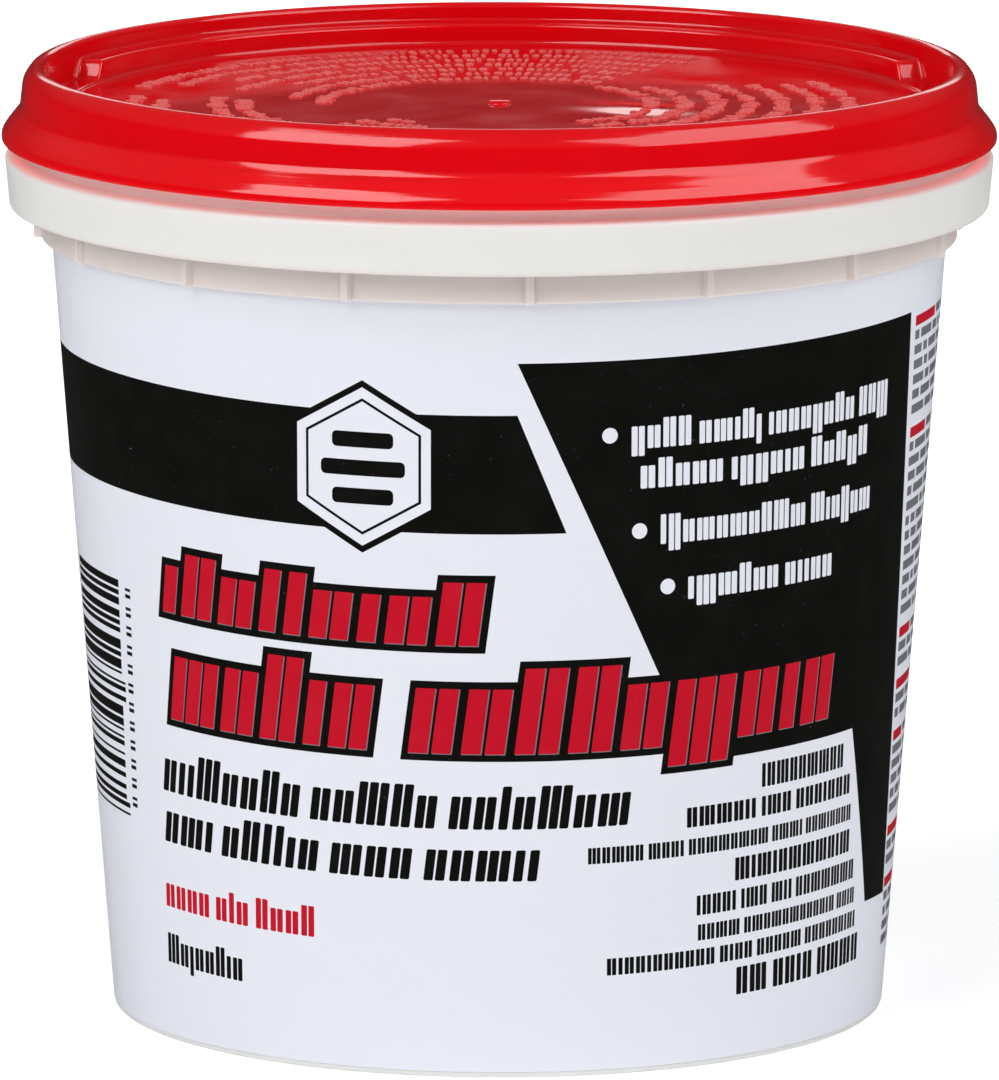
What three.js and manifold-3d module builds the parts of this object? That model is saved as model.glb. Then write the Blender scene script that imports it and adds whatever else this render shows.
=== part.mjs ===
// A lidded tub of ready-mixed filling paste, in four pieces: the moulded tub, the printed wrap on
// its wall, the paste in it and the snap-on lid. All lengths are millimetres, +Z is up, the axis of
// the tub is the Z axis and the tub stands on Z = 0. The front of the printed wrap faces -Y.

import * as THREE from 'three';
import { mergeVertices } from 'three/addons/utils/BufferGeometryUtils.js';
import Module from 'manifold-3d';

const manifold = await Module();
manifold.setup();

// ---- Driving dimensions ----

const OVERALL_RADIUS = 63.5; // the lid's skirt, the widest part
const OVERALL_HEIGHT = 121.4; // the crest of the lid's rim
const FOOT_RADIUS = 49.5; // where the line of the outer wall meets the ground
const TAPER_DEGREES = 4.4; // the wall leans out by this much
const WALL = 1.2; // wall thickness of both mouldings
const SHOULDER_HEIGHT = 99.5; // the step that ends the printed wall and begins the collar
const BAND_BOTTOM = 103.5;
const BAND_TOP = 110.2;
const BRIM_HEIGHT = 115.2; // the tub's mouth
const FILL_HEIGHT = 98.2; // the surface of the paste
const GAP = 0.3; // left between pieces that touch on the real object

// The tub
const FLOOR_THICKNESS = 1.8;
const FOOT_RECESS = 0.8; // the base is hollowed by this much inside its foot ring
const FOOT_RING_WIDTH = 4.2;
const CORNER = 1.3; // the rounding at the foot
const COLLAR_RADIUS = 58.5;
const BAND_TOP_RADIUS = 63.1;
const BAND_BOTTOM_RADIUS = 62.5;
const BAND_ROUNDING = 0.7; // along both edges of the band
const FLANGE_THICKNESS = 1.2;
const NECK_RADIUS = 61.0;
const SNAP_BEAD = 0.25; // how far the beads stand out, small enough to pass each other
const BEAD_DEPTH = 1.4; // the middle of the neck's bead below the mouth
const INNER_CORNER = 2; // the rounding between the floor and the wall, inside
const RIB_COUNT = 16;
const RIB_THICKNESS = 1.1;
const RIB_RADIUS = 59.45; // the ribs' outer edge below the band
const RIB_LIFT = 0.1; // the ribs end just above the step
const RIB_RUN_OUT = 1; // height over which a rib widens to the band's inner face
const RIB_PHASE_DEGREES = 3.7; // the first rib's place to the right of the front

// The printed wrap, sunk flush into the outer wall
const WRAP_THICKNESS = 0.2;
const WRAP_BOTTOM = 2.0;
const WRAP_SEAT = 0.4; // the depth of the seat, which holds the wrap and a thin gap

// The lid
const LID_PANEL_TOP = 116.2; // the floor of the stacking recess
const LID_LEDGE = 119.0; // the ledge inside the rim
const LID_RECESS_RADIUS = 54.8;
const LID_RIM_INNER_RADIUS = 58.0;
const LID_RIM_OUTER_RADIUS = 60.6;
const LID_WAIST = [60.8, 119.1]; // radius and height of points down the outside of the lid
const LID_KINK = [61.25, 115.9]; // where the rim's outer wall turns out into the skirt
const LID_FLARE = [62.2, 114.9];
const LID_SHOULDER = [63.25, 113.4];
const LID_EDGE = 0.4; // the small roundings on the lid's edges, cut as flats
const LID_DRAFT = 0.1; // the lean of the rim's inner wall
const SKIRT_BOTTOM = 111.9;
const SKIRT_BEAD_HEIGHT = 0.7; // the skirt's bead above its lower edge
const PLUG_BOTTOM = 112.5; // the plug is the wall that seals inside the mouth
const CHANNEL_CLEARANCE = 0.4; // round the tub's brim, in the lid's channel
const PANEL_ROUNDING = 0.7; // where the recess wall meets its floor
const NOTCH_HALF_ANGLE = 20; // degrees either side of +X and -X
const NOTCH_FLOOR_STEP = 0.4; // the notches' floor above the panel
const NOTCH_OVERLAP = 2; // how far the cut reaches in past the ledge

const SEGMENTS = 72; // around the axis, a multiple of four

// ---- Small helpers ----

const radians = THREE.MathUtils.degToRad;
const wallRadius = (z) => FOOT_RADIUS + z * Math.tan(radians(TAPER_DEGREES));
const innerRadius = (z) => wallRadius(z) - WRAP_SEAT - WALL;

// Points on an arc in the plane of radius and height, from one angle to another in degrees.
function arc(centreRadius, centreHeight, radius, from, to, steps) {
  const points = [];
  for (let i = 0; i <= steps; i += 1) {
    const angle = radians(THREE.MathUtils.lerp(from, to, i / steps));
    points.push([centreRadius + radius * Math.cos(angle), centreHeight + radius * Math.sin(angle)]);
  }
  return points;
}

// Keeps only positions and joins shared corners, so that the geometry is one closed skin.
function closedSkin(geometry) {
  geometry.deleteAttribute('normal');
  geometry.deleteAttribute('uv');
  return mergeVertices(geometry, 1e-5);
}

function toSolid(geometry) {
  const skin = closedSkin(geometry);
  const vertProperties = Float32Array.from(skin.attributes.position.array);
  const triVerts = Uint32Array.from(skin.index.array);
  return new manifold.Manifold(new manifold.Mesh({ numProp: 3, vertProperties, triVerts }));
}

function toGeometry(solid) {
  const mesh = solid.getMesh();
  const geometry = new THREE.BufferGeometry();
  geometry.setAttribute('position', new THREE.BufferAttribute(mesh.vertProperties, 3));
  geometry.setIndex(new THREE.BufferAttribute(mesh.triVerts, 1));
  geometry.computeVertexNormals();
  return geometry;
}

// A solid of revolution about Z from [radius, height] points, which run out along the underside,
// up the outside and back along the top.
function turned(outline) {
  const points = outline.map(([radius, height]) => new THREE.Vector2(radius, height));
  return toSolid(new THREE.LatheGeometry(points, SEGMENTS).rotateX(Math.PI / 2));
}

function named(name, solid, color, roughness) {
  const material = new THREE.MeshStandardMaterial({ color, roughness, metalness: 0 });
  const mesh = new THREE.Mesh(toGeometry(solid), material);
  mesh.name = name;
  return mesh;
}

// ---- The tub ----

function tubShell() {
  const footOuter = FOOT_RADIUS - CORNER;
  const footInner = footOuter - FOOT_RING_WIDTH;
  const flangeUnder = BAND_TOP - FLANGE_THICKNESS;
  const bandInner = BAND_BOTTOM_RADIUS - WALL;
  const neckInner = NECK_RADIUS - WALL;
  const collarInner = COLLAR_RADIUS - WALL;
  const beadHeight = BRIM_HEIGHT - BEAD_DEPTH;
  const floorTop = FOOT_RECESS + FLOOR_THICKNESS;
  const cornerHeight = floorTop + INNER_CORNER;
  const cornerRadius = innerRadius(cornerHeight) - INNER_CORNER;
  const bandLow = BAND_BOTTOM + BAND_ROUNDING;
  const bandHigh = BAND_TOP - BAND_ROUNDING;
  return turned([
    [0, FOOT_RECESS],
    [footInner - FOOT_RECESS, FOOT_RECESS],
    [footInner, 0],
    ...arc(footOuter, CORNER, CORNER, -90, 0, 3),
    [wallRadius(WRAP_BOTTOM), WRAP_BOTTOM],
    [wallRadius(WRAP_BOTTOM) - WRAP_SEAT, WRAP_BOTTOM],
    [wallRadius(SHOULDER_HEIGHT) - WRAP_SEAT, SHOULDER_HEIGHT],
    [COLLAR_RADIUS, SHOULDER_HEIGHT],
    [COLLAR_RADIUS, flangeUnder],
    [bandInner, flangeUnder],
    [bandInner, BAND_BOTTOM],
    ...arc(BAND_BOTTOM_RADIUS - BAND_ROUNDING, bandLow, BAND_ROUNDING, -90, 0, 3),
    ...arc(BAND_TOP_RADIUS - BAND_ROUNDING, bandHigh, BAND_ROUNDING, 0, 90, 3),
    [NECK_RADIUS, BAND_TOP],
    [NECK_RADIUS, beadHeight - SNAP_BEAD],
    [NECK_RADIUS + SNAP_BEAD, beadHeight],
    [NECK_RADIUS, beadHeight + SNAP_BEAD],
    ...arc(NECK_RADIUS - WALL / 2, BRIM_HEIGHT - WALL / 2, WALL / 2, 0, 180, 4),
    [neckInner, BAND_TOP],
    [collarInner, flangeUnder],
    [collarInner, SHOULDER_HEIGHT + WALL],
    [innerRadius(SHOULDER_HEIGHT), SHOULDER_HEIGHT - WALL],
    ...arc(cornerRadius, cornerHeight, INNER_CORNER, 0, -90, 3),
    [0, floorTop],
  ]);
}

// One upright rib: it fills the hollow between collar and band, and shows on the collar below it.
function collarRib() {
  const root = COLLAR_RADIUS - WALL / 2;
  const bandFace = BAND_BOTTOM_RADIUS - WALL / 2;
  const bottom = SHOULDER_HEIGHT + RIB_LIFT;
  const runOut = BAND_BOTTOM + RIB_RUN_OUT / 2;
  const top = BAND_TOP - FLANGE_THICKNESS / 2;
  const profile = new THREE.Shape([
    new THREE.Vector2(root, bottom),
    new THREE.Vector2(RIB_RADIUS, bottom),
    new THREE.Vector2(RIB_RADIUS, runOut),
    new THREE.Vector2(bandFace, runOut + RIB_RUN_OUT),
    new THREE.Vector2(bandFace, top),
    new THREE.Vector2(root, top),
  ]);
  const rib = new THREE.ExtrudeGeometry(profile, { depth: RIB_THICKNESS, bevelEnabled: false });
  rib.translate(0, 0, -RIB_THICKNESS / 2);
  rib.rotateX(Math.PI / 2);
  return rib;
}

function tub() {
  let solid = tubShell();
  for (let i = 0; i < RIB_COUNT; i += 1) {
    const angle = radians(RIB_PHASE_DEGREES - 90 + (360 * i) / RIB_COUNT);
    solid = solid.add(toSolid(collarRib().rotateZ(angle)));
  }
  return solid;
}

// ---- The printed wrap, a thin sleeve in its seat on the wall ----

function wrap() {
  const top = SHOULDER_HEIGHT - GAP;
  const bottom = WRAP_BOTTOM + GAP;
  return turned([
    [wallRadius(bottom) - WRAP_THICKNESS, bottom],
    [wallRadius(bottom), bottom],
    [wallRadius(top), top],
    [wallRadius(top) - WRAP_THICKNESS, top],
    [wallRadius(bottom) - WRAP_THICKNESS, bottom],
  ]);
}

// ---- The paste, which fills the tub to just under the shoulder ----

function paste() {
  const bottom = FOOT_RECESS + FLOOR_THICKNESS + GAP;
  const cornerTop = bottom + INNER_CORNER;
  return turned([
    [0, bottom],
    [innerRadius(bottom) - GAP - INNER_CORNER, bottom],
    [innerRadius(cornerTop) - GAP, cornerTop],
    [innerRadius(FILL_HEIGHT) - GAP, FILL_HEIGHT],
    [0, FILL_HEIGHT],
  ]);
}

// ---- The lid ----

function lidShell() {
  const crest = (LID_RIM_OUTER_RADIUS - LID_RIM_INNER_RADIUS) / 2;
  const channelRoof = BRIM_HEIGHT + CHANNEL_CLEARANCE;
  const plugOuter = NECK_RADIUS - WALL - CHANNEL_CLEARANCE;
  const panelUnder = LID_PANEL_TOP - WALL;
  const skirtInner = NECK_RADIUS + SNAP_BEAD + GAP;
  const skirtBead = SKIRT_BOTTOM + SKIRT_BEAD_HEIGHT;
  const ledgeOuter = LID_RIM_INNER_RADIUS - LID_DRAFT;
  const panelOuter = LID_RECESS_RADIUS - LID_DRAFT;
  return turned([
    [0, panelUnder],
    [LID_RIM_INNER_RADIUS, panelUnder],
    [LID_RIM_INNER_RADIUS + LID_DRAFT, PLUG_BOTTOM],
    [plugOuter - LID_EDGE, PLUG_BOTTOM],
    [plugOuter, PLUG_BOTTOM + LID_EDGE],
    [plugOuter, channelRoof],
    [skirtInner, channelRoof],
    [skirtInner + SNAP_BEAD, skirtBead + SKIRT_BEAD_HEIGHT],
    [skirtInner, skirtBead],
    [skirtInner + LID_EDGE, SKIRT_BOTTOM],
    [OVERALL_RADIUS - LID_EDGE, SKIRT_BOTTOM],
    [OVERALL_RADIUS, SKIRT_BOTTOM + LID_EDGE],
    LID_SHOULDER,
    LID_FLARE,
    LID_KINK,
    LID_WAIST,
    ...arc(LID_RIM_INNER_RADIUS + crest, OVERALL_HEIGHT - crest, crest, 0, 180, 6),
    [ledgeOuter, LID_LEDGE + LID_EDGE],
    [ledgeOuter - LID_EDGE, LID_LEDGE],
    [LID_RECESS_RADIUS + LID_EDGE, LID_LEDGE],
    [LID_RECESS_RADIUS, LID_LEDGE - LID_EDGE],
    [panelOuter, LID_PANEL_TOP + PANEL_ROUNDING],
    [panelOuter - PANEL_ROUNDING, LID_PANEL_TOP],
    [0, LID_PANEL_TOP],
  ]);
}

// The block that is cut from the ledge to make one notch, centred on +X.
function notchCutter() {
  const half = radians(NOTCH_HALF_ANGLE);
  const sector = new THREE.Shape();
  sector.absarc(0, 0, LID_RIM_INNER_RADIUS - LID_DRAFT, -half, half, false);
  sector.absarc(0, 0, LID_RECESS_RADIUS - NOTCH_OVERLAP, half, -half, true);
  const depth = OVERALL_HEIGHT - LID_PANEL_TOP;
  const steps = { depth, bevelEnabled: false, curveSegments: 8 };
  return new THREE.ExtrudeGeometry(sector, steps).translate(0, 0, LID_PANEL_TOP + NOTCH_FLOOR_STEP);
}

function lid() {
  let solid = lidShell();
  for (const side of [0, Math.PI]) {
    solid = solid.subtract(toSolid(notchCutter().rotateZ(side)));
  }
  return solid;
}

// ---- The assembly ----

const group = new THREE.Group();
group.add(named('tub_body', tub(), 0xe8e8e6, 0.4));
group.add(named('printed_wrap', wrap(), 0xe2e6f0, 0.35));
group.add(named('paste_fill', paste(), 0xdcd8ce, 0.8));
group.add(named('snap_lid', lid(), 0xd8000c, 0.2));

export default group;
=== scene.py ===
"""The looks of a lidded tub of ready-mixed joint compound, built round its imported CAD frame.

Four CAD nodes are replaced by finer pieces of the same size: the tub, the printed wrap on its wall,
the paste inside and the lid. Outlines are in millimetres as (radius, height), places round the axis
are degrees to the right of the front, and meshes are made in metres. The front faces -Y.
"""

import math
import random

import bpy
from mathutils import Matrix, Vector
from mathutils.geometry import delaunay_2d_cdt


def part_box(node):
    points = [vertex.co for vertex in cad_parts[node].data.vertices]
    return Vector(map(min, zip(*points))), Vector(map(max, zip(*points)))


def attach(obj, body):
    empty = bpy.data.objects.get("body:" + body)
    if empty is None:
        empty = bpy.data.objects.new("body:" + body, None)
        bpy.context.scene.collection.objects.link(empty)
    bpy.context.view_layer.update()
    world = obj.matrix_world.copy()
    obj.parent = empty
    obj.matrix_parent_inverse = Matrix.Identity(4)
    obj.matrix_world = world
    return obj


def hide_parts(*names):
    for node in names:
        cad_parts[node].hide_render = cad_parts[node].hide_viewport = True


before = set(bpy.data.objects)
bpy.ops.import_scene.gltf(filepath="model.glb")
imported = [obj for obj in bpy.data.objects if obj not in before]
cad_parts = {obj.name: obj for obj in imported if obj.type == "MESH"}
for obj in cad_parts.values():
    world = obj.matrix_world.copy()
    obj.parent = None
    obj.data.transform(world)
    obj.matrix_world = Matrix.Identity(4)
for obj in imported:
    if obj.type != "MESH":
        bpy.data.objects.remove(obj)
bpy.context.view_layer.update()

MM = 0.001


def box_mm(node):
    """The lowest and highest corners of a CAD node, in millimetres."""
    low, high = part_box(node)
    return low / MM, high / MM


TUB_HIGH = box_mm("tub_body")[1]
WRAP_HIGH = box_mm("printed_wrap")[1]
PASTE_LOW, PASTE_HIGH = box_mm("paste_fill")
LID_LOW, LID_HIGH = box_mm("snap_lid")

# ---- Driving values, in millimetres unless said otherwise ----

TAPER = math.radians(4.4)  # how far the wall leans out
WALL = 1.2  # the thickness of both mouldings

# The tub
BRIM = TUB_HIGH.z
BAND_RADIUS = TUB_HIGH.x
BAND_TOP = 110.2
BAND_BOTTOM = 103.5
BAND_DRAFT = 0.6  # how much narrower the band is at its lower edge
COLLAR_RADIUS = 58.5
SHOULDER = 99.5  # the step under the collar
NECK_RADIUS = 61.0
SNAP_BEAD = 0.25
SNAP_BEAD_DROP = 1.4  # how far the bead's middle is below the brim
FLOOR = 1.8  # the thickness of the tub's floor
FOOT_RECESS = 0.8  # how far that floor is off the ground
FOOT_RING = 5.5  # its width
RIBS = 16
RIB_PHASE = 3.7  # degrees
RIB_RADIUS = 59.45
RIB_WIDTH = 1.1

# The wrap
WRAP_THICKNESS = 0.2
WRAP_GAP = 0.02  # between the wrap and the wall
WRAP_BOTTOM = 0.7
WRAP_HALF_TURN = 179.85  # degrees from the front to the seam at the back
PRINT_RISE = 0.65  # the print climbs this much, twice over, at the sides of the tub
PRINT_TURN = 3.0  # degrees to the left of the front, where the print is lowest

# The paste
PASTE_DROP = 0.5  # how far its middle level is below the CAD's

# The lid
PANEL = 116.2  # the floor of the stacking recess
LEDGE = 119.0
RECESS_RADIUS = 54.8
RIM_INNER = 58.0
RIM_OUTER = 60.6
FLARE_TOP_RADIUS = 61.15  # where the rim's outer wall turns out into the skirt
FLARE_TOP = 116.0
FLARE_MIDDLE_RADIUS = 62.75  # where it steepens on its way down to its foot
FLARE_MIDDLE = 114.0
FLARE_FOOT = 112.9
NOTCH_HALF_ANGLE = 20.0  # degrees either side of the lid's right and left
NOTCH_RAMP = 1.1  # degrees over which a notch ends
NOTCH_FLOOR = 116.6
PANEL_WARP = 0.1  # how far the thin floor of the recess is out of flat
BUCKLE = 0.24  # a small buckle in that floor, to the right of its middle
BUCKLE_RIGHT = 18.0
BUCKLE_BACK = -4.0
BUCKLE_WIDTH = 7.0
BUCKLE_DEPTH = 9.0
GRIP_GAP = 0.3  # between the inside of the skirt and the neck's bead
PLUG_GAP = 0.4  # between the plug and the inside of the neck
MARK_HEIGHT = 0.22
MARK_BURIED = 0.15  # how far a pad reaches down into the floor
MARK_GAP = 0.45
MARK_WORD_GAP = 1.0  # added to that after every few marks

# The studio, in metres
CAMERA_BACK = 1.5883
CAMERA_UP = 0.3421
CAMERA_PITCH = 10.083  # degrees down
CAMERA_ROLL = -0.094  # degrees
SENSOR = 36.0  # mm
LENS = 453.0  # mm
AXIS_OFFSET = -0.0028  # of the frame's width
BACKDROP = 0.8  # how bright the surroundings look behind the object
FLOOR_RADIUS = 40.0


def wall_radius(height):
    """The outer radius of the wall, with its wrap, at a height."""
    return WRAP_HIGH.x + (height - WRAP_HIGH.z) * math.tan(TAPER)


# ---- Mesh helpers ----

def rounded(corners, steps=5):
    """An outline of (radius, height) points from corners (radius, height, rounding)."""
    points = []
    for i, (radius, height, rounding) in enumerate(corners):
        corner = Vector((radius, height))
        if rounding == 0:
            points.append(corner)
            continue
        back = Vector(corners[i - 1][:2]) - corner
        ahead = Vector(corners[i + 1][:2]) - corner
        half_angle = back.angle(ahead) / 2
        reach = min(rounding / math.tan(half_angle), 0.48 * back.length, 0.48 * ahead.length)
        centre = corner + (back.normalized() + ahead.normalized()).normalized() * (
            reach / math.cos(half_angle))
        spoke = corner + back.normalized() * reach - centre
        turn = math.copysign(math.pi - 2 * half_angle, back.cross(ahead) * -1)
        for step in range(steps + 1):
            angle = turn * step / steps
            points.append(centre + Vector((
                spoke.x * math.cos(angle) - spoke.y * math.sin(angle),
                spoke.x * math.sin(angle) + spoke.y * math.cos(angle))))
    return points


def blend(low, high, value):
    """0 up to low, 1 from high, and smooth between."""
    t = min(max((value - low) / (high - low), 0.0), 1.0)
    return t * t * (3 - 2 * t)


def place(radius, degrees, height):
    """A point in metres, at degrees to the right of the front."""
    angle = math.radians(degrees)
    return Vector((radius * math.sin(angle), -radius * math.cos(angle), height)) * MM


def make_object(name, vertices, faces, materials, face_materials=None):
    mesh = bpy.data.meshes.new(name)
    mesh.from_pydata(vertices, [], faces)
    for material in materials:
        mesh.materials.append(material)
    if face_materials:
        mesh.polygons.foreach_set("material_index", face_materials)
    piece = bpy.data.objects.new(name, mesh)
    bpy.context.scene.collection.objects.link(piece)
    return piece


def smooth(piece, sharp_degrees=50.0):
    """Smooth shading that keeps flat stretches flat beside their rounded edges."""
    piece.data.shade_smooth()
    piece.data.set_sharp_from_angle(angle=math.radians(sharp_degrees))
    modifier = piece.modifiers.new("even", "WEIGHTED_NORMAL")
    modifier.keep_sharp = True
    with bpy.context.temp_override(object=piece, active_object=piece, selected_objects=[piece]):
        bpy.ops.object.modifier_apply(modifier=modifier.name)


def turned(name, outline_at, columns, material):
    """A closed mesh round the axis. outline_at(degrees) runs from the axis out along the underside,
    up the outside and back along the top to the axis, with the same number of points everywhere."""
    outlines = [outline_at(degrees) for degrees in columns]
    count = len(outlines[0]) - 2
    vertices = [place(0, 0, outlines[0][0][1]), place(0, 0, outlines[0][-1][1])]
    for degrees, outline in zip(columns, outlines):
        vertices += [place(radius, degrees, height) for radius, height in outline[1:-1]]
    faces = []
    for i in range(len(columns)):
        here = 2 + i * count
        there = 2 + (i + 1) % len(columns) * count
        faces.append((0, there, here))
        for j in range(count - 1):
            faces.append((here + j, there + j, there + j + 1, here + j + 1))
        faces.append((1, here + count - 1, there + count - 1))
    return make_object(name, vertices, faces, [material])


def columns_round(count, finer_at=(), reach=0.0, steps=4):
    """Degrees round the axis, evenly spaced, with extra columns near some of them."""
    columns = {round(360 * i / count, 3) for i in range(count)}
    for centre in finer_at:
        columns = {c for c in columns if abs((c - centre + 180) % 360 - 180) > reach}
        for i in range(-steps, steps + 1):
            columns.add(round((centre + reach * i / steps) % 360, 3))
    return sorted(columns)


# ---- Materials ----

def node(material, kind, inputs=None, **settings):
    """Adds a shader node to a material or the world, and sets or links its inputs."""
    made = material.node_tree.nodes.new("ShaderNode" + kind)
    for key, value in settings.items():
        setattr(made, key, value)
    for key, value in (inputs or {}).items():
        if isinstance(value, bpy.types.NodeSocket):
            material.node_tree.links.new(value, made.inputs[key])
        else:
            made.inputs[key].default_value = value
    return made


def new_material(name, colour, roughness):
    material = bpy.data.materials.new(name)
    material.use_nodes = True
    shader = material.node_tree.nodes["Principled BSDF"]
    shader.inputs["Base Color"].default_value = (*colour, 1)
    shader.inputs["Roughness"].default_value = roughness
    return material


def shader_of(material):
    return material.node_tree.nodes["Principled BSDF"]


def noise(material, size, detail=2.0, stretch=(1, 1, 1)):
    """Soft noise around one half, with features about size millimetres across."""
    where = node(material, "TexCoord").outputs["Object"]
    scale = [1 / (size * MM * s) for s in stretch]
    scaled = node(material, "Mapping", {"Vector": where, "Scale": scale}).outputs[0]
    return node(material, "TexNoise", {"Vector": scaled, "Scale": 1.0, "Detail": detail}).outputs[0]


def object_place(material, axis):
    """A coordinate of the shaded point, in metres in the object's own frame."""
    where = node(material, "TexCoord").outputs["Object"]
    return node(material, "SeparateXYZ", {"Vector": where}).outputs[axis]


def remap(material, value, from_low, from_high, to_low, to_high):
    return node(material, "MapRange", {
        "Value": value, "From Min": from_low, "From Max": from_high,
        "To Min": to_low, "To Max": to_high}).outputs[0]


def vary_colour(material, amount, colour):
    """Mixes another colour over the base colour, by an amount from 0 to 1."""
    socket = shader_of(material).inputs["Base Color"]
    mixer = node(material, "Mix", {0: amount}, data_type="RGBA")
    if socket.is_linked:
        material.node_tree.links.new(socket.links[0].from_socket, mixer.inputs[6])
    else:
        mixer.inputs[6].default_value = socket.default_value
    mixer.inputs[7].default_value = (*colour, 1)
    material.node_tree.links.new(mixer.outputs[2], socket)


def vary_roughness(material, value, low, high):
    rough = remap(material, value, 0.3, 0.7, low, high)
    material.node_tree.links.new(rough, shader_of(material).inputs["Roughness"])


def bump(material, height, depth):
    """Adds relief whose full range is depth millimetres, on top of any that is there."""
    socket = shader_of(material).inputs["Normal"]
    inputs = {"Height": height, "Distance": depth * MM, "Strength": 1.0}
    if socket.is_linked:
        inputs["Normal"] = socket.links[0].from_socket
    relief = node(material, "Bump", inputs)
    material.node_tree.links.new(relief.outputs[0], socket)


def lid_red():
    """Glossy red plastic that light sinks into, with fine scuffs and faint level streaks."""
    material = new_material("lid_red", (0.76, 0.0005, 0.005), 0.1)
    shader = shader_of(material)
    shader.inputs["Specular IOR Level"].default_value = 0.7
    shader.inputs["Subsurface Weight"].default_value = 0.5
    shader.inputs["Subsurface Radius"].default_value = (1.0, 0.03, 0.03)
    shader.inputs["Subsurface Scale"].default_value = 3.0 * MM
    clouds = remap(material, noise(material, 30), 0.3, 0.7, 0, 0.35)
    vary_colour(material, clouds, (0.66, 0.0, 0.004))
    vary_roughness(material, noise(material, 9, 4), 0.06, 0.14)
    bump(material, noise(material, 22, 1), 0.10)
    bump(material, noise(material, 0.9, 2), 0.0025)
    scuffs = remap(material, noise(material, 1.4, 3, (1, 9, 1)), 0.68, 0.74, 0, 1)
    bump(material, scuffs, 0.006)
    streaks = noise(material, 0.6, 2, (40, 40, 1))
    bump(material, streaks, 0.016)
    return material


def painted_glow_red():
    """The inside of the skirt, which glows with painted red light: emission that stands in for light
    that has come through the thin red wall.
    """
    material = new_material("skirt_inside_painted_glow", (0.70, 0.001, 0.005), 0.3)
    clouds = remap(material, noise(material, 8, 3), 0.3, 0.7, 0, 0.5)
    vary_colour(material, clouds, (0.6, 0.0, 0.004))
    # painted light: this emission makes the skirt's inside glow red, though it is no lamp
    shader_of(material).inputs["Emission Color"].default_value = (1.0, 0.03, 0.03, 1)
    shader_of(material).inputs["Emission Strength"].default_value = 1.2
    return material


def frosted_red():
    """The paler, rough red of the raised pads."""
    material = new_material("frosted_red", (0.74, 0.05, 0.05), 0.55)
    grain = noise(material, 0.35, 3)
    vary_colour(material, remap(material, grain, 0.4, 0.65, 0, 1), (0.86, 0.17, 0.16))
    bump(material, grain, 0.05)
    return material


def tub_white():
    """Waxy white plastic, pinker in the collar, where a pink glow is painted into the colour to stand in
    for light that came through the lid.
    """
    material = new_material("tub_white", (0.80, 0.80, 0.78), 0.36)
    shader = shader_of(material)
    shader.inputs["Subsurface Weight"].default_value = 0.4
    shader.inputs["Subsurface Radius"].default_value = (1.0, 0.75, 0.7)
    shader.inputs["Subsurface Scale"].default_value = 2.5 * MM
    clouds = remap(material, noise(material, 18, 3), 0.35, 0.7, 0, 0.5)
    vary_colour(material, clouds, (0.77, 0.765, 0.735))
    # painted light: the collar, between the band and the wall, is tinted pink for red light from the lid
    height = object_place(material, "Z")
    below_band = remap(material, height, (BAND_BOTTOM + 0.9) * MM, (BAND_BOTTOM - 0.1) * MM, 0, 1)
    above_wall = remap(material, height, (SHOULDER - 0.5) * MM, (SHOULDER - 0.1) * MM, 0, 1)
    collar_painted_glow = node(material, "Math", {0: below_band, 1: above_wall}, operation="MULTIPLY").outputs[0]
    vary_colour(material, collar_painted_glow, (0.78, 0.69, 0.665))
    vary_roughness(material, noise(material, 6, 4), 0.32, 0.44)
    bump(material, noise(material, 14, 1), 0.05)
    bump(material, noise(material, 0.6, 2), 0.004)
    return material


def film(name, colour, speck, speck_amount, mottle_amount=0.08):
    """Satin printed film in one ink, with fine orange peel, faint waves and small specks."""
    material = new_material(name, colour, 0.32)
    shader_of(material).inputs["Specular IOR Level"].default_value = 0.12
    specks = remap(material, noise(material, 0.5, 2), 0.72, 0.78, 0, speck_amount)
    vary_colour(material, specks, speck)
    mottle = remap(material, noise(material, 5, 3), 0.4, 0.7, 0, mottle_amount)
    vary_colour(material, mottle, speck)
    vary_roughness(material, noise(material, 7, 3), 0.28, 0.38)
    bump(material, noise(material, 26, 1, (1, 1, 2)), 0.05)
    bump(material, noise(material, 0.7, 2), 0.002)
    return material


def paste_white():
    """Damp off-white paste with fine grain and small pits."""
    material = new_material("paste_white", (0.74, 0.72, 0.67), 0.62)
    clouds = remap(material, noise(material, 12, 4), 0.35, 0.7, 0, 1)
    vary_colour(material, clouds, (0.68, 0.655, 0.60))
    vary_roughness(material, noise(material, 4, 3), 0.5, 0.72)
    bump(material, noise(material, 1.6, 5), 0.12)
    pits = node(material, "TexVoronoi", {
        "Vector": node(material, "TexCoord").outputs["Object"], "Scale": 1 / (2.2 * MM)}).outputs[0]
    bump(material, remap(material, pits, 0.04, 0.14, 0, 1), 0.12)
    return material


def floor_white():
    """A pale floor that glows a little, and more so behind the object."""
    material = new_material("floor_white", (0.93, 0.93, 0.93), 0.8)
    vary_colour(material, remap(material, noise(material, 400), 0.3, 0.7, 0, 0.1), (0.9, 0.9, 0.9))
    shader_of(material).inputs["Emission Color"].default_value = (1, 1, 1, 1)
    glow = remap(material, object_place(material, "Y"), 0.0, 0.7, 0.34, 0.8)
    material.node_tree.links.new(glow, shader_of(material).inputs["Emission Strength"])
    return material


# ---- The tub ----

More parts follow.
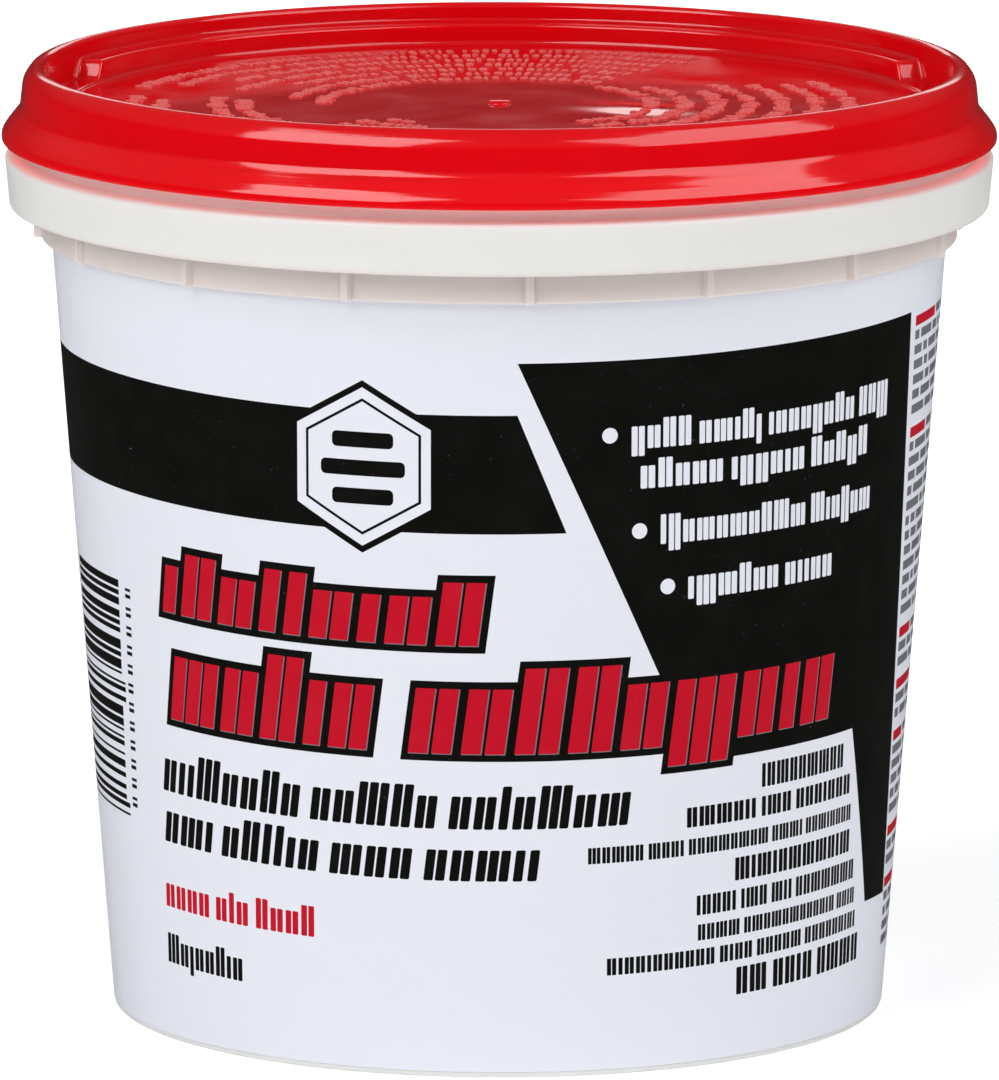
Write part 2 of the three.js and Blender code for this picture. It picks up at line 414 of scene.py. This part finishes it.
def tub_outline(rib):
    """The tub's section; rib goes from 0 between the ribs to 1 at the middle of one."""
    foot_outer = wall_radius(0)
    foot_inner = foot_outer - FOOT_RING
    seat = WRAP_THICKNESS + WRAP_GAP
    flange_under = BAND_TOP - WALL
    band_low_radius = BAND_RADIUS - BAND_DRAFT
    band_inner = band_low_radius - WALL
    collar = COLLAR_RADIUS + rib * (RIB_RADIUS - COLLAR_RADIUS)
    hollow_top = flange_under + rib * (BAND_BOTTOM + 0.6 - flange_under)
    bead = BRIM - SNAP_BEAD_DROP
    neck_inner = NECK_RADIUS - WALL
    depth = seat + WALL
    floor_top = FOOT_RECESS + FLOOR
    return rounded([
        (0, FOOT_RECESS, 0),
        (foot_inner - 0.8, FOOT_RECESS, 0.5),
        (foot_inner, 0, 0.4),
        (foot_outer - 0.1, 0, 0.5),
        (wall_radius(WRAP_BOTTOM), WRAP_BOTTOM, 0.05),
        (wall_radius(WRAP_BOTTOM) - seat, WRAP_BOTTOM, 0.05),
        (wall_radius(SHOULDER) - seat, SHOULDER, 0.05),
        (collar, SHOULDER, 0.3),
        (collar, hollow_top, 0.4),
        (band_inner, hollow_top + 0.3 * rib, 0.4),
        (band_inner, BAND_BOTTOM, 0.25),
        (band_low_radius, BAND_BOTTOM, 0.6),
        (BAND_RADIUS, BAND_TOP - 0.2, 0.5),
        (NECK_RADIUS, BAND_TOP, 0.35),
        (NECK_RADIUS, bead - 0.4, 0.3),
        (NECK_RADIUS + SNAP_BEAD, bead, 0.3),
        (NECK_RADIUS, bead + 0.4, 0.3),
        (NECK_RADIUS, BRIM, 0.55),
        (neck_inner, BRIM, 0.5),
        (neck_inner, BAND_TOP, 0.6),
        (COLLAR_RADIUS - WALL, flange_under, 0.4),
        (COLLAR_RADIUS - WALL, SHOULDER + WALL, 0.8),
        (wall_radius(SHOULDER) - depth, SHOULDER - WALL, 0.8),
        (wall_radius(floor_top) - depth, floor_top, 2.0),
        (0, floor_top, 0),
    ])


def make_tub(material):
    centres = [RIB_PHASE + 360 * i / RIBS for i in range(RIBS)]
    half_width = math.degrees(RIB_WIDTH / 2 / RIB_RADIUS)
    outlines = {}

    def outline_at(degrees):
        off = min(abs((degrees - centre + 180) % 360 - 180) for centre in centres)
        rib = round(1 - blend(half_width - 0.12, half_width + 0.22, off), 4)
        if rib not in outlines:
            outlines[rib] = tub_outline(rib)
        return outlines[rib]

    columns = columns_round(240, centres, half_width + 0.25, 6)
    tub = turned("moulded_tub", outline_at, columns, material)
    smooth(tub)
    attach(tub, "tub")
    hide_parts("tub_body")


# ---- The print on the wrap: (x, height) in millimetres, x measured along the wall from the front ----

FILM, BLACK, RED, GREY = range(4)
STROKE_GAP = 0.2  # between the strokes of a group, for a stroke of width 1
GROUP_GAP = 0.5  # between groups
WORD_GAP = 1.5
SHORT = 0.76  # the height of most strokes, for a tall one of height 1
DROP = 0.24  # how far a few strokes reach below the base line
LINE_PITCH = 1.95  # from one line of small print to the next
PARAGRAPH_GAP = 1.0
BADGE = (-17.2, 78.2)
dice = random.Random(7)
art = []  # (ink, outline) of each printed shape, and a later one covers an earlier one


def bar(ink, left, right, bottom, top, rounding=0.0, lean=0.0, grow=0.0, shift=(0, 0)):
    """Prints a bar, leaning to the right by lean for each millimetre up, and grown all round."""
    left, right = left - grow + shift[0], right + grow + shift[0]
    bottom, top = bottom - grow + shift[1], top + grow + shift[1]
    rounding = min(rounding, (right - left) / 2, (top - bottom) / 2)
    points = []
    for x, z, start in (
            (right - rounding, bottom + rounding, -90),
            (right - rounding, top - rounding, 0),
            (left + rounding, top - rounding, 90),
            (left + rounding, bottom + rounding, 180)):
        for step in range(4 if rounding else 1):
            angle = math.radians(start + 30 * step)
            corner = (x + rounding * math.cos(angle), z + rounding * math.sin(angle))
            points.append((corner[0] + lean * (corner[1] - bottom), corner[1]))
    art.append((ink, points))


def disc(ink, x, z, radius, sides=24, turn=0.0):
    """Prints a disc, or a polygon with few sides."""
    angles = [math.radians(turn + 360 * i / sides) for i in range(sides)]
    art.append((ink, [(x + radius * math.cos(angle), z + radius * math.sin(angle)) for angle in angles]))


def stroke_row(left, right, height, words, capitals):
    """Where a row's strokes go: (left, right, bottom, top) of each, with the base line at 0.

    words has the number of stroke groups in each word, and the strokes are as wide as fills the row."""
    widths = []
    for word, groups in enumerate(words):
        if word:
            widths.append((WORD_GAP, None))
        for group in range(groups):
            top = height if capitals or dice.random() < 0.3 else SHORT * height
            bottom = -DROP * height if not capitals and dice.random() < 0.09 else 0.0
            for stroke in range(dice.choice((1, 2, 2, 2, 3))):
                if stroke:
                    widths.append((STROKE_GAP, None))
                elif group:
                    widths.append((GROUP_GAP, None))
                widths.append((1.0, (bottom, top)))
    unit = (right - left) / sum(width for width, span in widths)
    strokes = []
    x = left
    for width, span in widths:
        if span:
            strokes.append((x, x + width * unit, *span))
        x += width * unit
    return strokes


def row(ink, left, right, base, height, words, lean=0.0, capitals=False):
    """A row of plain upright strokes in groups, where the real object has a line of small print."""
    for low_x, high_x, bottom, top in stroke_row(left, right, height, words, capitals):
        slide = lean * bottom
        bar(ink, low_x + slide, high_x + slide, base + bottom, base + top, 0.04 * height, lean)


def headline(left, right, base, height, words, lean):
    """Heavy red strokes on a black surround, with a thin pale edge where the inks don't quite meet."""
    strokes = stroke_row(left, right, height, words, False)
    for ink, grow, shift in ((BLACK, 0.95, (0, 0)), (GREY, 0.03, (0.1, -0.08)), (RED, 0.0, (0, 0))):
        for low_x, high_x, bottom, top in strokes:
            slide = lean * bottom
            bar(ink, low_x + slide, high_x + slide, base + bottom, base + top, 0.0, lean, grow, shift)


def bar_code(left, right, bottom, top):
    """Bars of mixed thickness that encode nothing, longer at the ends and the middle, beside ticks."""
    z = bottom
    while z < top - 1.2:
        thickness = dice.choice((0.33, 0.66, 0.66, 1.0, 1.3))
        is_long = min(z - bottom, top - z, abs(z - (bottom + top) / 2)) < 1.8
        bar(BLACK, left, right + (1.0 if is_long else 0.0), z, z + thickness)
        z += thickness + dice.choice((0.33, 0.33, 0.33, 0.66, 0.9))
    for i in range(12):
        height = bottom + 1.5 + 2.5 * i
        bar(BLACK, right + 1.8, right + 3.2, height, height + 0.5)
        bar(BLACK, right + 1.8, right + 3.2, height + 0.9, height + 1.3)


def column_of_lines(left, right, bottom, top):
    """Lines of small print as plain grey bars, in paragraphs that start with a red bar."""
    z = top
    starts_paragraph = True
    while z > bottom:
        x = left
        end = right - dice.uniform(0, 3)
        ends_paragraph = False
        if starts_paragraph:
            heading = dice.uniform(5, 11)
            bar(RED, x, x + heading, z - 1.35, z)
            x += heading + 0.8
        elif dice.random() < 0.14:
            end = left + dice.uniform(0.3, 0.8) * (right - left)
            ends_paragraph = True
        while x < end - 1:
            word = min(dice.uniform(1.6, 6.5), end - x)
            bar(GREY, x, x + word, z - 1.2, z)
            x += word + 0.75
        z -= LINE_PITCH + (PARAGRAPH_GAP if ends_paragraph else 0)
        starts_paragraph = ends_paragraph


def draw_panels():
    """The black band, and the black panel with a slanted left edge that runs down to a wedge."""
    band = [(-98, 70.1), (8.45, 70.1), (2.3, 85.2), (-98, 85.2)]
    panel = [(2.3, 91.8), (25.8, 39.5), (53.4, 39.5), (59.1, 15.4), (67.1, 15.0), (65.8, 91.8)]
    art.append((BLACK, band))
    art.append((BLACK, panel))


def draw_badge():
    """A plain hexagon with three bars."""
    x, z = BADGE
    for ink, size in ((BLACK, 11.0), (FILM, 10.1), (BLACK, 8.7), (FILM, 8.3)):
        disc(ink, x, z, size, 6, 30)
    for i, width in enumerate((8, 11, 8)):
        bottom = z + 2.4 - 3.6 * i
        bar(BLACK, x - width / 2, x + width / 2, bottom, bottom + 2.0, 0.6)


def draw_left_rows():
    """The two headlines, and the rows below them."""
    headline(-48.5, -2.6, 55.8, 8.1, (9,), 0.13)
    headline(-47.3, -16.8, 41.9, 11.0, (5,), 0.13)
    headline(-11.4, 47.6, 41.9, 11.0, (9,), 0.13)
    row(BLACK, -49.3, 16.4, 32.2, 5.6, (8, 5, 7), 0.12)
    row(BLACK, -49.2, 4.8, 25.5, 5.3, (3, 6, 3, 5), 0.12)
    row(RED, -49.3, -23.9, 16.9, 4.0, (4, 3, 4))
    row(BLACK, -49.2, -34.9, 9.5, 3.9, (8,))


def draw_right_rows():
    """Small rows that end along the wedge."""
    for left, right, base, height, words in (
            (35.8, 51.4, 34.8, 3.1, (9,)),
            (24.5, 53.2, 31.0, 2.6, (6, 3, 7)),
            (11.3, 53.7, 27.4, 2.1, (5, 4, 8, 4, 8)),
            (31.7, 53.6, 23.2, 3.0, (11,)),
            (26.0, 55.0, 19.4, 2.6, (5, 3, 3, 7)),
            (26.2, 55.5, 16.1, 2.1, (4, 12, 4)),
            (13.8, 56.0, 12.8, 2.2, (11, 4, 5, 9)),
            (32.1, 57.1, 8.2, 3.6, (2, 4, 4))):
        row(BLACK, left, right, base, height, words, capitals=True)


def draw_panel_rows():
    """White rows on the black panel, three of them behind a dot."""
    for left, right, base, height, words, dotted in (
            (16.7, 59.4, 80.4, 3.8, (4, 5, 8, 3), True),
            (17.9, 54.6, 75.3, 3.8, (5, 6, 5), False),
            (20.6, 55.7, 68.0, 3.8, (10, 6), True),
            (24.4, 47.6, 60.6, 3.8, (6, 5), True)):
        row(FILM, left, right, base, height, words)
        if dotted:
            disc(FILM, left - 2.8, base + 1.9, 1.0)


def draw_back():
    """Small print round the back, clear of the seam."""
    column_of_lines(67.6, 104, 7, 91)
    column_of_lines(108, 144, 7, 91)
    column_of_lines(-142, -104, 7, 66)


def draw_print():
    """Everything that is printed on the wrap, from the lowest layer up."""
    draw_panels()
    draw_badge()
    draw_left_rows()
    draw_right_rows()
    draw_panel_rows()
    bar_code(-77.8, -59.2, 26.9, 59.7)
    draw_back()


# ---- The wrap ----

def wall_place(x, z):
    """A printed point's place on the wall: degrees and height."""
    degrees = math.degrees(x / wall_radius(z))
    return degrees, z + PRINT_RISE * (1 - math.cos(2 * math.radians(degrees + PRINT_TURN)))


def split_edges(points, longest=1.4):
    """The same outline with extra points, so that long edges can bend round the wall."""
    split = []
    for here, there in zip(points, points[1:] + points[:1]):
        pieces = max(1, math.ceil(math.dist(here, there) / longest))
        step_x = (there[0] - here[0]) / pieces
        step_z = (there[1] - here[1]) / pieces
        split += [(here[0] + step_x * i, here[1] + step_z * i) for i in range(pieces)]
    return split


def cut_sheet():
    """The whole wrap laid flat, cut along the edges of its print: points, triangles and their inks."""
    draw_print()
    turn = WRAP_HALF_TURN
    top = SHOULDER - 0.05
    bottom = WRAP_BOTTOM + 0.03
    polygons = [(FILM, split_edges([(-turn, bottom), (turn, bottom), (turn, top), (-turn, top)]))]
    polygons += [(ink, [wall_place(*point) for point in split_edges(points)]) for ink, points in art]
    flat = []
    outlines = []
    for ink, points in polygons:
        outlines.append(list(range(len(flat), len(flat) + len(points))))
        flat += points
    across, up = 240, 40  # points all over the sheet, so that it bends evenly round the wall
    for i in range(across):
        for j in range(up):
            height = WRAP_BOTTOM + (top - WRAP_BOTTOM) * (j + 0.5) / up
            flat.append((-turn + 2 * turn * (i + 0.5) / across, height))
    corners = [Vector(point) for point in flat]
    flat, _, triangles, _, _, owners = delaunay_2d_cdt(corners, [], outlines, 1, 1e-5, True)
    return flat, triangles, [polygons[max(owner)][0] for owner in owners]


def open_edges(triangles):
    """The edges that only one triangle uses."""
    edges = {edge for triangle in triangles for edge in zip(triangle, triangle[1:] + triangle[:1])}
    return [(a, b) for triangle in triangles for a, b in zip(triangle, triangle[1:] + triangle[:1])
            if (b, a) not in edges]


def wall_normals(wrap, count, skin_faces):
    """Normals at right angles to the wall on both skins, and the faces' own on the cut edges.

    The first count vertices are the outer skin's, and the first skin_faces faces are the skins'."""
    normals = []
    for face in wrap.data.polygons:
        for vertex in face.vertices:
            if face.index >= skin_faces:
                normals.append(face.normal.copy())
                continue
            across = Vector(wrap.data.vertices[vertex].co[:2]).normalized() * math.cos(TAPER)
            out = Vector((across.x, across.y, -math.sin(TAPER)))
            normals.append(out if vertex < count else -out)
    return normals


def make_wrap(inks):
    """A thin closed sleeve with one seam at the back."""
    flat, triangles, colours = cut_sheet()
    count = len(flat)
    vertices = []
    for sunk in (0.0, WRAP_THICKNESS):
        vertices += [place(wall_radius(z) - sunk, degrees, z) for degrees, z in flat]
    rim = [(b, a, a + count, b + count) for a, b in open_edges(triangles)]
    faces = [tuple(triangle) for triangle in triangles]
    faces += [tuple(vertex + count for vertex in reversed(triangle)) for triangle in triangles]
    colours += [FILM] * (len(triangles) + len(rim))
    wrap = make_object("printed_sleeve", vertices, faces + rim, inks, colours)
    wrap.data.shade_smooth()
    wrap.data.normals_split_custom_set(wall_normals(wrap, count, len(faces)))
    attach(wrap, "tub")
    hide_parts("printed_wrap")


# ---- The paste ----

def paste_height(radius, degrees):
    """The trowelled surface: a spiral of soft ridges that dies out towards the wall and the middle."""
    angle = math.radians(degrees)
    spiral = 0.75 * math.sin(2 * angle - radius * 0.28 + 0.5 * math.sin(3 * angle))
    ripple = 0.25 * math.sin(5 * angle + radius * 0.5)
    fade = blend(2, 16, radius) * blend(0, 6, PASTE_HIGH.x - radius)
    return PASTE_HIGH.z - PASTE_DROP + (spiral + ripple) * fade


def make_paste(material):
    edge = PASTE_HIGH.x - 0.2
    base = PASTE_LOW.z
    base_radius = PASTE_HIGH.x - (PASTE_HIGH.z - base) * math.tan(TAPER)

    def outline_at(degrees):
        points = [
            (0, base),
            (base_radius - 2, base),
            (base_radius, base + 2),
            (edge, PASTE_HIGH.z - 1.2),
            (edge - 0.2, PASTE_HIGH.z - 0.75),
        ]
        radii = [edge - 1 - (edge - 2) * i / 44 for i in range(45)]
        points += [(radius, paste_height(radius, degrees)) for radius in radii]
        return points + [(0, paste_height(0, 0))]

    paste = turned("trowelled_paste", outline_at, columns_round(180), material)
    paste.data.shade_smooth()
    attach(paste, "tub")
    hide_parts("paste_fill")


# ---- The lid ----

def panel_height(radius, degrees):
    """The recess floor, which is slightly out of flat."""
    angle = math.radians(degrees)
    warp = math.cos(2 * angle + 0.6) * (radius / RECESS_RADIUS) ** 2 + 0.6 * math.cos(radius / 13)
    right = radius * math.sin(angle) - BUCKLE_RIGHT
    back = -radius * math.cos(angle) - BUCKLE_BACK
    bulge = math.exp(-(right / BUCKLE_WIDTH) ** 2 - (back / BUCKLE_DEPTH) ** 2)
    buckle = bulge * math.cos(back / 2.6 + right / 9)
    return PANEL + (PANEL_WARP * warp + BUCKLE * buckle) * blend(0, 8, RECESS_RADIUS - radius)


def lid_outline(notch, degrees):
    """The lid's section; notch goes from 0 on the ledge to 1 in a notch."""
    ledge = LEDGE + notch * (NOTCH_FLOOR - LEDGE)
    skirt_outer = LID_HIGH.x
    skirt_inner = NECK_RADIUS + SNAP_BEAD + GRIP_GAP
    skirt = LID_LOW.z
    crest = LID_HIGH.z
    channel_roof = BRIM + 0.4
    plug_outer = NECK_RADIUS - WALL - PLUG_GAP
    plug = skirt + 0.6
    under = rounded([
        (0, PANEL - WALL, 0),
        (RIM_INNER, PANEL - WALL, 0.5),
        (RIM_INNER + 0.1, plug, 0.3),
        (plug_outer, plug, 0.4),
        (plug_outer, channel_roof, 0.3),
        (skirt_inner, channel_roof, 0.3),
        (skirt_inner + 0.3, skirt + 1.5, 0.4),
        (skirt_inner, skirt + 0.7, 0.3),
        (skirt_inner + 0.5, skirt, 0.3),
        (skirt_outer - 0.05, skirt, 0.35),
        (skirt_outer, FLARE_FOOT, 1.5),
        (FLARE_MIDDLE_RADIUS, FLARE_MIDDLE, 2.5),
        (FLARE_TOP_RADIUS, FLARE_TOP, 2.0),
        (RIM_OUTER + 0.15, crest - 1.7, 3.0),
        (RIM_OUTER - 1.1, crest, 1.6),
        (RIM_INNER, crest, 1.0),
        (RIM_INNER - 0.1, ledge, 0.5),
        (RECESS_RADIUS, ledge - 0.01, 0.45),
        (RECESS_RADIUS - 0.2, PANEL, 0.8),
        (RECESS_RADIUS - 4, PANEL, 0),
    ], 6)
    floor_radii = [RECESS_RADIUS - 4 - (RECESS_RADIUS - 6.2) * i / 24 for i in range(1, 25)]
    floor = [(radius, panel_height(radius, degrees)) for radius in floor_radii]
    hub = panel_height(2, 0)
    nub = [(1.5, hub), (1.35, hub + 0.25), (1.1, hub + 0.38), (0, hub + 0.4)]
    return under + floor + nub


def paint_skirt_inside(lid, material):
    """Gives the faces of the skirt that look in at the neck a material of their own, which paints a red
    glow onto them.
    """
    lid.data.materials.append(material)
    for face in lid.data.polygons:
        radius = face.center.xy.length
        looks_in = face.normal.xy.dot(face.center.xy) < -0.7 * radius
        if looks_in and radius > NECK_RADIUS * MM and face.center.z < BRIM * MM:
            face.material_index = 1


def make_lid(material, skirt_inside):
    edges = [side + sign * NOTCH_HALF_ANGLE for side in (90, 270) for sign in (-1, 1)]

    def outline_at(degrees):
        off = min(abs((degrees - side + 180) % 360 - 180) for side in (90, 270))
        notch = 1 - blend(NOTCH_HALF_ANGLE - NOTCH_RAMP, NOTCH_HALF_ANGLE + NOTCH_RAMP, off)
        return lid_outline(notch, degrees)

    lid = turned("push_fit_lid", outline_at, columns_round(288, edges, NOTCH_RAMP + 0.3, 10), material)
    smooth(lid)
    # the skirt's inside gets the material with the painted red glow
    paint_skirt_inside(lid, skirt_inside)
    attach(lid, "lid")
    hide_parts("snap_lid")


def pad_corners(cut=0.6):
    """The corners of a square that reaches 1 each way, with its own corners cut off."""
    return [(1, -cut), (1, cut), (cut, 1), (-cut, 1), (-1, cut), (-1, -cut), (-cut, -1), (cut, -1)]


def mark(vertices, faces, radius, degrees, width, length):
    """One raised pad with softened edges, lying along its row on the recess floor."""
    start = len(vertices)
    floor = panel_height(radius, degrees)
    for inset, height in ((0, -MARK_BURIED), (0, 0.6 * MARK_HEIGHT), (0.12, MARK_HEIGHT)):
        for side_x, side_y in pad_corners():
            along = side_x * (width / 2 - inset)
            out = radius + side_y * (length / 2 - inset)
            vertices.append(place(out, degrees + math.degrees(along / radius), floor + height))
    bottom, middle, top = (range(start + level, start + level + 8) for level in (0, 8, 16))
    faces.append(list(reversed(bottom)))
    for lower, upper in ((bottom, middle), (middle, top)):
        for i in range(8):
            j = (i + 1) % 8
            faces.append([lower[i], lower[j], upper[j], upper[i]])
    faces.append(list(top))


def make_marks(material):
    """Rows of plain raised pads in arcs, where the real lid has raised lettering.

    Each group has its first and last degrees, and the radii of its rows."""
    vertices, faces = [], []
    groups = (
        (146, 241, [22.5 + 4.3 * i for i in range(7)]),
        (27, 119, [19.5 + 4.2 * i for i in range(7)]),
        (-98, -50, [32.6, 36.0, 43.3, 46.6]),
        (-47, -33, [20.5, 24.0, 27.5]),
    )
    for start, end, radii in groups:
        for radius in radii:
            degrees = start + dice.uniform(0, 5)
            last = end - dice.uniform(0, 6)
            while degrees < last:
                for _ in range(dice.randint(4, 11)):
                    width = dice.uniform(0.5, 1.1)
                    shift = dice.uniform(-0.35, 0.35)
                    mark(vertices, faces, radius + shift, degrees, width, dice.uniform(1.2, 2.5))
                    degrees += math.degrees((width + MARK_GAP) / radius)
                degrees += math.degrees(MARK_WORD_GAP / radius)
    marks = make_object("lid_raised_marks", vertices, faces, [material])
    marks.data.shade_smooth()
    marks.data.set_sharp_from_angle(angle=math.radians(50))
    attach(marks, "lid")


# ---- The studio ----

def make_floor():
    """A wide disc at the ground, which the object's glossy surfaces don't reflect."""
    sides = 96
    rim = [place(FLOOR_RADIUS / MM, 360 * i / sides, 0) for i in range(sides)]
    floor = make_object("floor", rim, [list(range(sides))], [floor_white()])
    floor.visible_glossy = False


def make_camera():
    """A long lens in front of the tub, looking slightly down at it."""
    data = bpy.data.cameras.new("camera")
    data.sensor_fit = "HORIZONTAL"
    data.sensor_width = SENSOR
    data.lens = LENS
    data.shift_x = AXIS_OFFSET
    camera = bpy.data.objects.new("camera", data)
    camera.location = (0, -CAMERA_BACK, CAMERA_UP)
    camera.rotation_euler = (math.radians(90 - CAMERA_PITCH), math.radians(CAMERA_ROLL), 0)
    bpy.context.scene.collection.objects.link(camera)
    bpy.context.scene.camera = camera


def softbox(name, degrees, elevation, distance, width, height, power, reflected=True):
    """A rectangular light, aimed at the lid from degrees to the right of the front.

    Lengths are in metres and the power is in watts."""
    data = bpy.data.lights.new(name, "AREA")
    data.shape = "RECTANGLE"
    data.size = width
    data.size_y = height
    data.energy = power
    light = bpy.data.objects.new(name, data)
    light.visible_glossy = reflected
    turn, rise = math.radians(degrees), math.radians(elevation)
    target = Vector((0, 0, LID_HIGH.z * MM))
    away = Vector((math.sin(turn) * math.cos(rise), -math.cos(turn) * math.cos(rise), math.sin(rise)))
    light.location = target + away * distance
    light.rotation_euler = away.to_track_quat("Z", "Y").to_euler()
    bpy.context.scene.collection.objects.link(light)


def make_world():
    """A dim white dome, darkest at the horizon, with a pale backdrop where it is seen directly."""
    world = bpy.data.worlds.new("studio")
    world.use_nodes = True
    bpy.context.scene.world = world
    up = node(world, "SeparateXYZ", {0: node(world, "TexCoord").outputs["Generated"]}).outputs[2]
    steepness = node(world, "Math", {0: up}, operation="ABSOLUTE").outputs[0]
    strength = node(world, "MapRange", {
        "Value": steepness, "From Min": 0.12, "From Max": 0.5, "To Min": 0.03, "To Max": 0.14},
        interpolation_type="SMOOTHSTEP").outputs[0]
    seen = node(world, "LightPath").outputs["Is Camera Ray"]
    backdrop = node(world, "Math", {0: seen, 1: BACKDROP}, operation="MULTIPLY").outputs[0]
    strength = node(world, "Math", {0: strength, 1: backdrop}, operation="MAXIMUM").outputs[0]
    background = world.node_tree.nodes["Background"]
    background.inputs["Color"].default_value = (1, 1, 1, 1)
    world.node_tree.links.new(strength, background.inputs["Strength"])


make_camera()
make_world()
make_floor()
softbox("softbox_left", -44, 37, 1.3, 0.95, 0.95, 10.5)
softbox("softbox_right", 60, 37, 1.3, 1.3, 0.95, 9)
softbox("softbox_back_left", -145, 28, 1.4, 1.1, 1.3, 3.5, reflected=False)
softbox("softbox_back_right", 145, 28, 1.4, 1.1, 1.3, 3, reflected=False)
softbox("softbox_back", 180, 18, 1.4, 0.9, 0.25, 1.2)
bpy.context.scene.view_settings.view_transform = "Standard"

make_tub(tub_white())
make_wrap([
    film("film_white", (0.77, 0.79, 0.86), (0.72, 0.74, 0.80), 0.3),
    film("ink_black", (0.0045, 0.0045, 0.0036), (0.10, 0.10, 0.10), 0.7, 0.02),
    film("ink_red", (0.54, 0.0005, 0.016), (0.62, 0.04, 0.06), 0.4),
    film("ink_grey", (0.16, 0.17, 0.19), (0.3, 0.3, 0.3), 0.4),
])
make_paste(paste_white())
make_lid(lid_red(), painted_glow_red())
make_marks(frosted_red())
